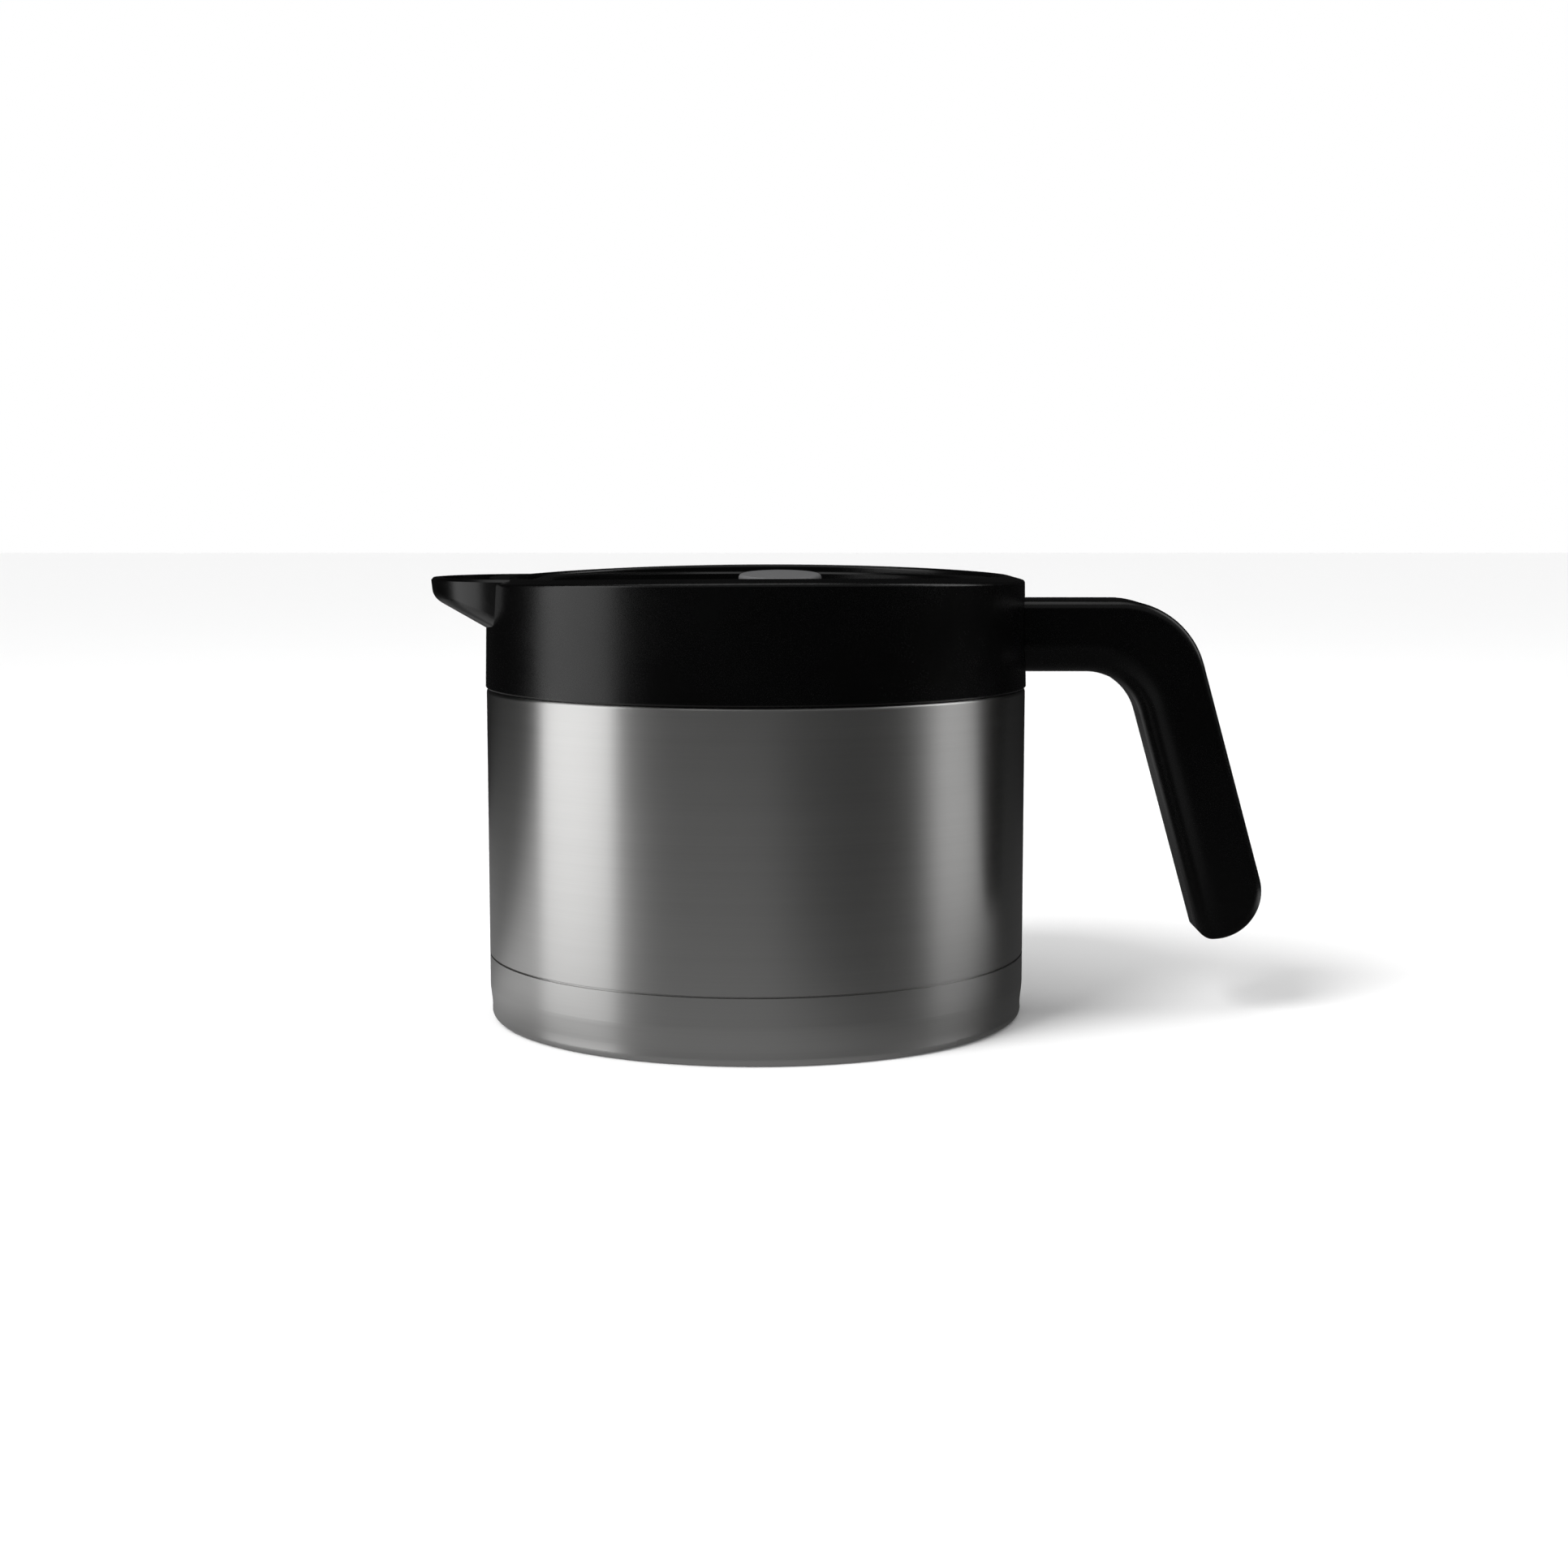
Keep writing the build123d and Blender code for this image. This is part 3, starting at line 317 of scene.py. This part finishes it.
@dataclass(frozen=True)
class Finish:
    """A surface whose tone, roughness and relief come from layers of noise and specks.

    A kind of finish says what its layers are, how dark and light its tones get, and what is constant.
    """

    made: ClassVar[dict[str, bpy.types.Material]] = {}
    darkest: ClassVar[float] = 0.8
    lightest: ClassVar[float] = 1.25

    name: str
    colour: Colour
    roughness: float

    def grains(self) -> Sequence[Grain]:
        """Returns the finish's layers; each kind has its own."""
        raise NotImplementedError

    def depth(self) -> float:
        """Returns the relief's depth in metres; each kind has its own."""
        raise NotImplementedError

    def specks(self) -> Specks | None:
        """Returns the finish's specks, where its kind has any."""
        return None

    def constants(self) -> dict[str, float]:
        """Returns the values of the shader's sockets that are the same all over."""
        return {}

    def shade(self, graph: Graph) -> None:
        """Builds the finish in a graph: each layer moves the tone, the roughness and the height in turn.

        Args:
            graph: The graph to build in.
        """
        tone, rough, height = MIDDLE, self.roughness, 0.0
        for grain in self.grains():
            value = graph.noise(grain)
            if grain.tone:
                tone = (value - MIDDLE) * grain.tone + tone
            if grain.rough:
                rough = (value - MIDDLE) * grain.rough + rough
            if grain.relief:
                height = value * grain.relief + height
        specks = self.specks()
        if specks:
            value = graph.specks(specks)
            tone = value * specks.tone + tone
            rough = value * specks.rough + rough
        dark, light = lighter(self.colour, self.darkest), lighter(self.colour, self.lightest)
        graph.surface({"Base Color": graph.blend(tone, dark, light),
                       "Roughness": rough,
                       "Normal": graph.bumped(height, self.depth())}, self.constants())

    def material(self) -> bpy.types.Material:
        """Returns the finish's material, made once."""
        if self.name not in self.made:
            material = bpy.data.materials.new(self.name)
            material.use_nodes = True
            self.shade(Graph(material.node_tree))
            self.made[self.name] = material
        return self.made[self.name]


@dataclass(frozen=True)
class BrushedSteel(Finish):
    """Stainless steel with fine satin lines that run round the body, broader bands and a faint haze."""

    darkest: ClassVar[float] = 0.86
    lightest: ClassVar[float] = 1.12

    spread: float = 0.90
    line_pitch: float = 0.00026
    band_pitch: float = 0.001625
    line_depth: float = 0.0000002

    def grains(self) -> Sequence[Grain]:
        """Returns lines and bands stretched round the body, and haze left by hands."""
        return (Grain(5.0, 1.0 / self.line_pitch, 4.0, 0.62, tone=0.30, rough=0.10, relief=0.7),
                Grain(3.0, 1.0 / self.band_pitch, 2.0, tone=0.22, relief=0.3),
                Grain(26.0, finer=0.55, tone=0.10, rough=0.06))

    def depth(self) -> float:
        """Returns the depth of the lines."""
        return self.line_depth

    def constants(self) -> dict[str, float]:
        """Returns the gloss of metal that is spread upright, across the lines."""
        return {"Metallic": 1.0, "Anisotropic": self.spread, "Anisotropic Rotation": 0.25}


@dataclass(frozen=True)
class PlainMetal(Finish):
    """Pressed, drawn or cast metal with a soft mottle and a few darker specks."""

    darkest: ClassVar[float] = 0.78
    lightest: ClassVar[float] = 1.15

    mottle_size: float = 0.003
    mottle_depth: float = 0.00001
    mottle_share: float = 0.12

    def grains(self) -> Sequence[Grain]:
        """Returns the mottle, which shows four times as much in tone as in roughness."""
        return (Grain(1.0 / self.mottle_size, octaves=4.0, finer=0.55,
                      tone=4.0 * self.mottle_share, rough=self.mottle_share, relief=1.0),)

    def depth(self) -> float:
        """Returns the depth of the mottle."""
        return self.mottle_depth

    def specks(self) -> Specks:
        """Returns dark specks that are twice as far apart as the mottle."""
        return Specks(0.5 / self.mottle_size, (0.16, 0.10), tone=-0.18, rough=0.08)

    def constants(self) -> dict[str, float]:
        """Returns the gloss of metal."""
        return {"Metallic": 1.0}


@dataclass(frozen=True)
class GrainedPlastic(Finish):
    """Moulded plastic with an even spark-eroded grain, rubbed places and a little dust."""

    darkest: ClassVar[float] = 0.72
    lightest: ClassVar[float] = 1.35

    grain_size: float = 0.00035
    grain_depth: float = 0.000012
    shine: float = 0.5

    def grains(self) -> Sequence[Grain]:
        """Returns the fine grain, a coarser one and places that are rubbed smoother."""
        return (Grain(1.0 / self.grain_size, octaves=2.0, finer=0.6, tone=0.7, rough=0.10, relief=0.6),
                Grain(0.28 / self.grain_size, octaves=2.0, tone=0.4, relief=0.4),
                Grain(34.0, finer=0.6, tone=0.35, rough=0.16))

    def depth(self) -> float:
        """Returns the depth of the grain."""
        return self.grain_depth

    def specks(self) -> Specks:
        """Returns fine pale dust."""
        return Specks(260.0, (0.055, 0.03), tone=0.4, rough=0.1)

    def constants(self) -> dict[str, float]:
        """Returns how much the plastic mirrors."""
        return {"Specular IOR Level": self.shine}


@dataclass(frozen=True)
class SoftRubber(Finish):
    """Silicone or rubber: a broad sheen over a powdery surface."""

    powder_size: float = 0.0012
    powder_depth: float = 0.00001

    def grains(self) -> Sequence[Grain]:
        """Returns fine powder and broad clouds."""
        return (Grain(1.0 / self.powder_size, octaves=4.0, finer=0.6, tone=0.6, rough=0.14, relief=1.0),
                Grain(40.0, octaves=2.0, tone=0.5))

    def depth(self) -> float:
        """Returns the depth of the powder."""
        return self.powder_depth

    def constants(self) -> dict[str, float]:
        """Returns the sheen of the powder."""
        return {"Sheen Weight": 0.08, "Sheen Roughness": 0.5}


BRUSHED_STEEL = BrushedSteel("satin_steel", (0.60, 0.597, 0.59), 0.35)
PLAIN_STEEL = PlainMetal("pressed_steel", (0.55, 0.55, 0.55), 0.34)
POLISHED_STEEL = PlainMetal("polished_steel", (0.66, 0.655, 0.65), 0.16, 0.012, 0.000004, 0.05)
COPPER_FOIL = PlainMetal("bright_foil", (0.72, 0.46, 0.30), 0.14, 0.009, 0.00006, 0.06)
SOLDER = PlainMetal("dull_solder", (0.52, 0.52, 0.50), 0.45, 0.0015, 0.00003)
SINTERED = PlainMetal("sintered_pellet", (0.20, 0.19, 0.185), 0.6, 0.0004, 0.00004)
CAST_ALLOY = PlainMetal("cast_alloy", (0.50, 0.50, 0.50), 0.46, 0.0012, 0.00003)
PLATED_STEEL = PlainMetal("plated_steel", (0.56, 0.55, 0.52), 0.28, 0.0008)
DRAWN_STEEL = PlainMetal("drawn_steel", (0.62, 0.62, 0.615), 0.22, 0.0006)
BLACK_MOULDING = GrainedPlastic("satin_black_plastic", (0.0008, 0.0008, 0.00084), 0.26, shine=0.42)
BLACK_INNER = GrainedPlastic("inner_black_plastic", (0.002, 0.002, 0.0021), 0.30, 0.0005)
GREY_BUTTON = GrainedPlastic("satin_grey_plastic", (0.095, 0.095, 0.097), 0.46, 0.0004)
GREY_SILICONE = SoftRubber("soft_grey_silicone", (0.22, 0.22, 0.22), 0.55)
BLACK_RUBBER = SoftRubber("soft_black_rubber", (0.022, 0.022, 0.022), 0.7)


# Sub-assemblies


class SubAssembly:
    """A group of solids of one body, which keep their shapes and get their finishes."""

    body: ClassVar[Body]
    finishes: ClassVar[dict[Finish, Sequence[str]]]

    def dress(self) -> None:
        """Gives each of the group's solids its finish."""
        for finish, nodes in self.finishes.items():
            for name in nodes:
                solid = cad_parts[name]
                solid.data.materials.clear()
                solid.data.materials.append(finish.material())
                log.info("%s: %s keeps its solid, finished in %s", self.body.value, name, finish.name)

    def build(self) -> None:
        """Makes the group's own pieces; most groups have none."""


class Flask(SubAssembly):
    """The double-wall steel vessel with what lies between its walls, and its foot."""

    body = Body.VESSEL
    finishes = {
        BRUSHED_STEEL: ["outer_shell", "base_cup"],
        PLAIN_STEEL: ["vacuum_closure"],
        POLISHED_STEEL: ["inner_vessel"],
        COPPER_FOIL: ["heat_foil"],
        SOLDER: ["seal_off_button"],
        SINTERED: ["getter"],
        BLACK_RUBBER: ["foot_pad"],
    }


class CollarAndHandle(SubAssembly):
    """The black collar with its spout, and the open handle that is screwed to it."""

    body = Body.VESSEL
    finishes = {
        BLACK_MOULDING: ["collar", "handle_near_half", "handle_far_half", "screw_plugs"],
        GREY_SILICONE: ["collar_gasket"],
        PLAIN_STEEL: ["retaining_ring"],
        CAST_ALLOY: ["handle_bracket"],
        PLATED_STEEL: ["bracket_screws", "handle_screws"],
    }


class Lid(SubAssembly):
    """The recessed lid, its hollow plug and its seals."""

    body = Body.LID
    finishes = {
        BLACK_MOULDING: ["lid_top"],
        BLACK_INNER: ["lid_plug"],
        GREY_SILICONE: ["plug_gasket", "port_seal"],
    }


class Valve(SubAssembly):
    """The valve that the grey button opens."""

    body = Body.VALVE
    finishes = {
        GREY_BUTTON: ["valve_button"],
        BLACK_INNER: ["valve_head"],
        GREY_SILICONE: ["valve_seal"],
        DRAWN_STEEL: ["valve_stem", "stem_clip"],
    }


@dataclass(frozen=True)
class Spring(SubAssembly):
    """The valve's spring: a coil of round wire on the lid; the real spring gets shorter with the button,
    but this coil keeps one length.
    """

    body: ClassVar[Body] = Body.LID
    finishes: ClassVar[dict[Finish, Sequence[str]]] = {DRAWN_STEEL: ["valve_spring"]}

    name: str = "valve_coil"
    node: str = "valve_spring"
    joint: str = "valve_press"
    slot: str = "spring_wire"
    wire: float = 0.0009
    turns: int = 4
    travel: float = 0.004
    steps_in_a_turn: int = 64
    sides: int = 16

    def coil(self, low: np.ndarray, high: np.ndarray) -> tuple[np.ndarray, list[tuple[int, ...]]]:
        """Works out the spring's surface in the box of its solid.

        The middle line is a helix: its point at the angle t lies at the coil's radius times
        (cos t, sin t) and rises evenly with t. The wire's skin lies half a wire from it, at the angle u
        in the plane of the outward and the upward direction square to the line. Both ends are closed
        with a flat face.

        Args:
            low: The box's lowest corner, in metres.
            high: The box's highest corner, in metres.

        Returns:
            The points and the faces.
        """
        middle = (low + high) / 2.0
        half_wire = self.wire / 2.0
        radius = (high[0] - low[0]) / 2.0 - half_wire
        rings = self.turns * self.steps_in_a_turn + 1
        t = np.linspace(0.0, FULL_TURN * self.turns, rings)[:, None]
        u = np.linspace(0.0, FULL_TURN, self.sides, endpoint=False)[None, :]
        climb = (high[2] - low[2] - self.wire) / (FULL_TURN * self.turns)
        slope = np.arctan2(climb, radius)
        reach = radius + half_wire * np.cos(u)
        lift = half_wire * np.sin(u)
        points = np.stack([
            middle[0] + reach * np.cos(t) + lift * np.sin(slope) * np.sin(t),
            middle[1] + reach * np.sin(t) - lift * np.sin(slope) * np.cos(t),
            low[2] + half_wire + climb * t + lift * np.cos(slope),
        ], axis=-1).reshape(-1, 3)
        ring, side = np.meshgrid(np.arange(rings - 1), np.arange(self.sides), indexing="ij")
        here = ring * self.sides
        above = here + self.sides
        beside = (side + 1) % self.sides
        quads = np.stack([here + side, above + side, above + beside, here + beside], axis=-1)
        faces = [tuple(quad) for quad in quads.reshape(-1, 4).tolist()]
        start = tuple(range(self.sides))
        end = tuple(range(rings * self.sides - 1, (rings - 1) * self.sides - 1, -1))
        return points, [*faces, start, end]

    def build(self) -> None:
        """Puts the spring in its solid's place and hides the solid."""
        low, high = (np.array(corner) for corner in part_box(self.node))
        points, faces = self.coil(low, high)
        mesh = bpy.data.meshes.new(self.name)
        mesh.from_pydata(points.tolist(), [], faces)
        mesh.shade_smooth()
        mesh.materials.append(DRAWN_STEEL.material())
        piece = bpy.data.objects.new(self.name, mesh)
        bpy.context.scene.collection.objects.link(piece)
        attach(piece, self.body.value)
        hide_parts(self.node)
        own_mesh(piece)
        log.info("%s: %s stands for %s, %d faces", self.body.value, self.name, self.node, len(faces))


# Studio


def flat_piece(name: str, points: np.ndarray) -> tuple[bpy.types.Object, Graph]:
    """Makes one flat face of the studio with an empty material.

    Args:
        name: The name of the object, its mesh and its material.
        points: The face's corners, in metres.

    Returns:
        The object and its material's graph.
    """
    mesh = bpy.data.meshes.new(name)
    mesh.from_pydata(points.tolist(), [], [tuple(range(len(points)))])
    piece = bpy.data.objects.new(name, mesh)
    material = bpy.data.materials.new(name)
    material.use_nodes = True
    mesh.materials.append(material)
    bpy.context.scene.collection.objects.link(piece)
    return piece, Graph(material.node_tree)


@dataclass(frozen=True)
class View:
    """The camera at the photograph's view."""

    lens: float = 56.78
    sensor: float = 36.0
    nearest: float = 0.01
    eye: tuple[float, float, float] = (0.0078, -0.691, 0.1438)
    pitch_down: float = 6.57

    def build(self) -> None:
        """Makes the camera and sets it as the scene's."""
        view = bpy.data.cameras.new("view")
        view.lens = self.lens
        view.sensor_width = self.sensor
        view.clip_start = self.nearest
        holder = bpy.data.objects.new("view", view)
        holder.location = self.eye
        holder.rotation_euler = (math.radians(90.0 - self.pitch_down), 0.0, 0.0)
        bpy.context.scene.collection.objects.link(holder)
        bpy.context.scene.camera = holder


@dataclass(frozen=True)
class Floor:
    """A wide pale floor that mirrors in nothing."""

    reach: float = 6.0
    colour: Colour = (0.86, 0.86, 0.86)
    roughness: float = 0.9

    def build(self) -> None:
        """Lays the floor."""
        corners = np.array([(-1.0, -1.0, 0.0), (1.0, -1.0, 0.0), (1.0, 1.0, 0.0), (-1.0, 1.0, 0.0)])
        floor, graph = flat_piece("floor", self.reach * corners)
        graph.surface({}, {"Base Color": (*self.colour, 1.0), "Roughness": self.roughness})
        floor.visible_glossy = False


@dataclass(frozen=True)
class FloorReflectionCard:
    """A glowing card under the carafe, seen only in mirroring surfaces: a painted reflection of the near
    floor, with the carafe's shadow painted in as its darkest level.

    A level of 1 is white. Steps say, in metres, where a level starts and where it is full.

    Attributes:
        shaded: Its level in the carafe's painted shadow.
        front: Its level in front of the carafe, on the spout's side.
        below_spout: Its level under the spout and beyond.
        beyond_handle: Its level beyond the handle.
    """

    reach: float = 0.46
    drop: float = 0.001
    corners: int = 48
    brightest: float = 2.0
    shaded: float = 0.06
    front: float = 0.25
    below_spout: float = 1.0
    beyond_handle: float = 1.3
    front_along: Step = (0.09, 0.0)
    front_across: Step = (-0.34, -0.28)
    spout_along: Step = (-0.07, -0.14)
    spout_near: Step = (-0.20, -0.10)
    spout_far: Step = (0.07, 0.0)
    handle_along: Step = (0.18, 0.26)
    handle_near: Step = (-0.16, -0.08)
    handle_far: Step = (0.09, 0.03)

    def build(self) -> None:
        """Lays the card and paints light into its three places, over the painted shadow level."""
        turns = np.linspace(0.0, FULL_TURN, self.corners, endpoint=False)
        rim = np.stack([self.reach * np.cos(turns), self.reach * np.sin(turns),
                        np.full(turns.shape, -self.drop)], axis=1)
        card, graph = flat_piece("floor_reflection_card", rim)
        along, across, _ = graph.parts(graph.place())
        # Painted reflection of the floor: lighter in front, under the spout and beyond the handle, and the
        # painted shadow level elsewhere.
        ahead = along.between(self.front_along) * across.between(self.front_across)
        spout_side = (along.between(self.spout_along)
                      * across.between(self.spout_near) * across.between(self.spout_far))
        handle_side = (along.between(self.handle_along)
                       * across.between(self.handle_near) * across.between(self.handle_far))
        level = (ahead * (self.front - self.shaded) + spout_side * (self.below_spout - self.front)
                 + handle_side * (self.beyond_handle - self.shaded) + self.shaded)
        peak = (self.brightest, self.brightest, self.brightest)
        tone = graph.blend(level / self.brightest, BLACK, peak)
        lit = graph.node("ShaderNodeEmission", inputs={"Color": tone, "Strength": 1.0})
        graph.node("ShaderNodeOutputMaterial", inputs={"Surface": lit.outputs[0]})
        card.visible_camera = False
        card.visible_diffuse = False
        card.visible_shadow = False


@dataclass(frozen=True)
class Softbox:
    """One soft rectangular light that faces the carafe.

    Attributes:
        azimuth: Its direction from the carafe, in degrees from +X towards +Y.
        height: Its height above the floor, in metres.
        distance: How far it is from the carafe's axis, in metres.
        size: Its width and height, in metres.
        power: Its power, in watts.
    """

    aim: ClassVar[tuple[float, float, float]] = (0.0, 0.0, 0.07)

    name: str
    azimuth: float
    height: float
    distance: float
    size: tuple[float, float]
    power: float

    def build(self) -> None:
        """Hangs the light."""
        lamp = bpy.data.lights.new(self.name, "AREA")
        lamp.shape = "RECTANGLE"
        lamp.size, lamp.size_y = self.size
        lamp.energy = self.power
        holder = bpy.data.objects.new(self.name, lamp)
        angle = math.radians(self.azimuth)
        place = np.array([self.distance * math.cos(angle), self.distance * math.sin(angle), self.height])
        way = np.array(self.aim) - place
        level = math.hypot(way[0], way[1])
        holder.location = place
        holder.rotation_euler = (math.atan2(level, -way[2]), 0.0, math.atan2(-way[0], way[1]))
        bpy.context.scene.collection.objects.link(holder)


@dataclass(frozen=True)
class FarLight:
    """One far and broad light that mirrors in nothing.

    Attributes:
        azimuth: Where it comes from, in degrees from +X towards +Y.
        elevation: How high it stands, in degrees.
        breadth: The angle that it fills, in degrees.
        strength: Its irradiance, in watts for a square metre.
    """

    name: str
    azimuth: float
    elevation: float
    breadth: float
    strength: float

    def build(self) -> None:
        """Adds the light."""
        lamp = bpy.data.lights.new(self.name, "SUN")
        lamp.energy = self.strength
        lamp.angle = math.radians(self.breadth)
        holder = bpy.data.objects.new(self.name, lamp)
        holder.rotation_euler = (0.0, math.radians(90.0 - self.elevation), math.radians(self.azimuth))
        holder.visible_glossy = False
        bpy.context.scene.collection.objects.link(holder)


@dataclass(frozen=True)
class Room:
    """The surroundings: white to the camera and, to everything else, a dark room.

    The room has a broad pale panel high up on the camera's side, and is a little lighter overhead, below
    and behind the carafe. Steps are sines of angles from the level or from the camera's plane.
    """

    darkest: float = 0.004
    behind: float = 0.006
    panel: float = 0.20
    overhead: float = 0.04
    below: float = 0.08
    behind_edge: Step = (0.55, 0.95)
    panel_side: Step = (0.05, -0.30)
    panel_foot: Step = (0.24, 0.38)
    panel_head: Step = (0.92, 0.76)
    overhead_edge: Step = (0.80, 0.95)
    below_edge: Step = (-0.05, -0.45)

    def build(self) -> None:
        """Makes the world."""
        world = bpy.data.worlds.new("studio")
        bpy.context.scene.world = world
        world.use_nodes = True
        graph = Graph(world.node_tree)
        way = graph.node("ShaderNodeTexCoord").outputs["Generated"]
        _, depth, height = graph.parts(way)
        behind = depth.between(self.behind_edge)
        panel = (depth.between(self.panel_side)
                 * height.between(self.panel_foot) * height.between(self.panel_head))
        overhead = height.between(self.overhead_edge)
        below = height.between(self.below_edge)
        tone = (self.darkest + behind * self.behind + panel * self.panel
                + overhead * self.overhead + below * self.below)
        ray = Channel(graph, graph.node("ShaderNodeLightPath").outputs["Is Camera Ray"])
        level = tone + ray * (1.0 - tone)
        inputs = {"Color": (*WHITE, 1.0), "Strength": level}
        background = graph.node("ShaderNodeBackground", inputs=inputs)
        graph.node("ShaderNodeOutputWorld", inputs={"Surface": background.outputs[0]})


@dataclass(frozen=True)
class Studio:
    """The pale floor, the soft lights, the surroundings and the camera."""

    pieces: ClassVar[Sequence[Any]] = (
        View(),
        Floor(),
        FloorReflectionCard(),
        Softbox("left_softbox", 192.0, 0.25, 1.0, (0.74, 1.1), 4.1),
        Softbox("right_softbox", 4.5, 0.85, 1.1, (0.60, 1.1), 3.8),
        Softbox("top_softbox", 200.0, 1.4, 0.15, (1.2, 1.2), 4.0),
        FarLight("key_light", 222.0, 43.0, 30.0, 2.8),
        FarLight("fill_light", 0.0, 90.0, 170.0, 1.6),
        Room(),
    )

    def build(self) -> None:
        """Sets up the whole studio."""
        for piece in self.pieces:
            piece.build()
        bpy.context.scene.view_settings.view_transform = "Standard"
        log.info("studio: camera, floor, three soft lights, two far ones and the surroundings")


def main() -> None:
    """Builds the studio and each sub-assembly."""
    logging.basicConfig(level=logging.INFO, format="%(message)s", stream=sys.stdout)
    Studio().build()
    for group in (Flask(), CollarAndHandle(), Lid(), Valve(), Spring()):
        group.dress()
        group.build()


if __name__ == "__main__":
    main()
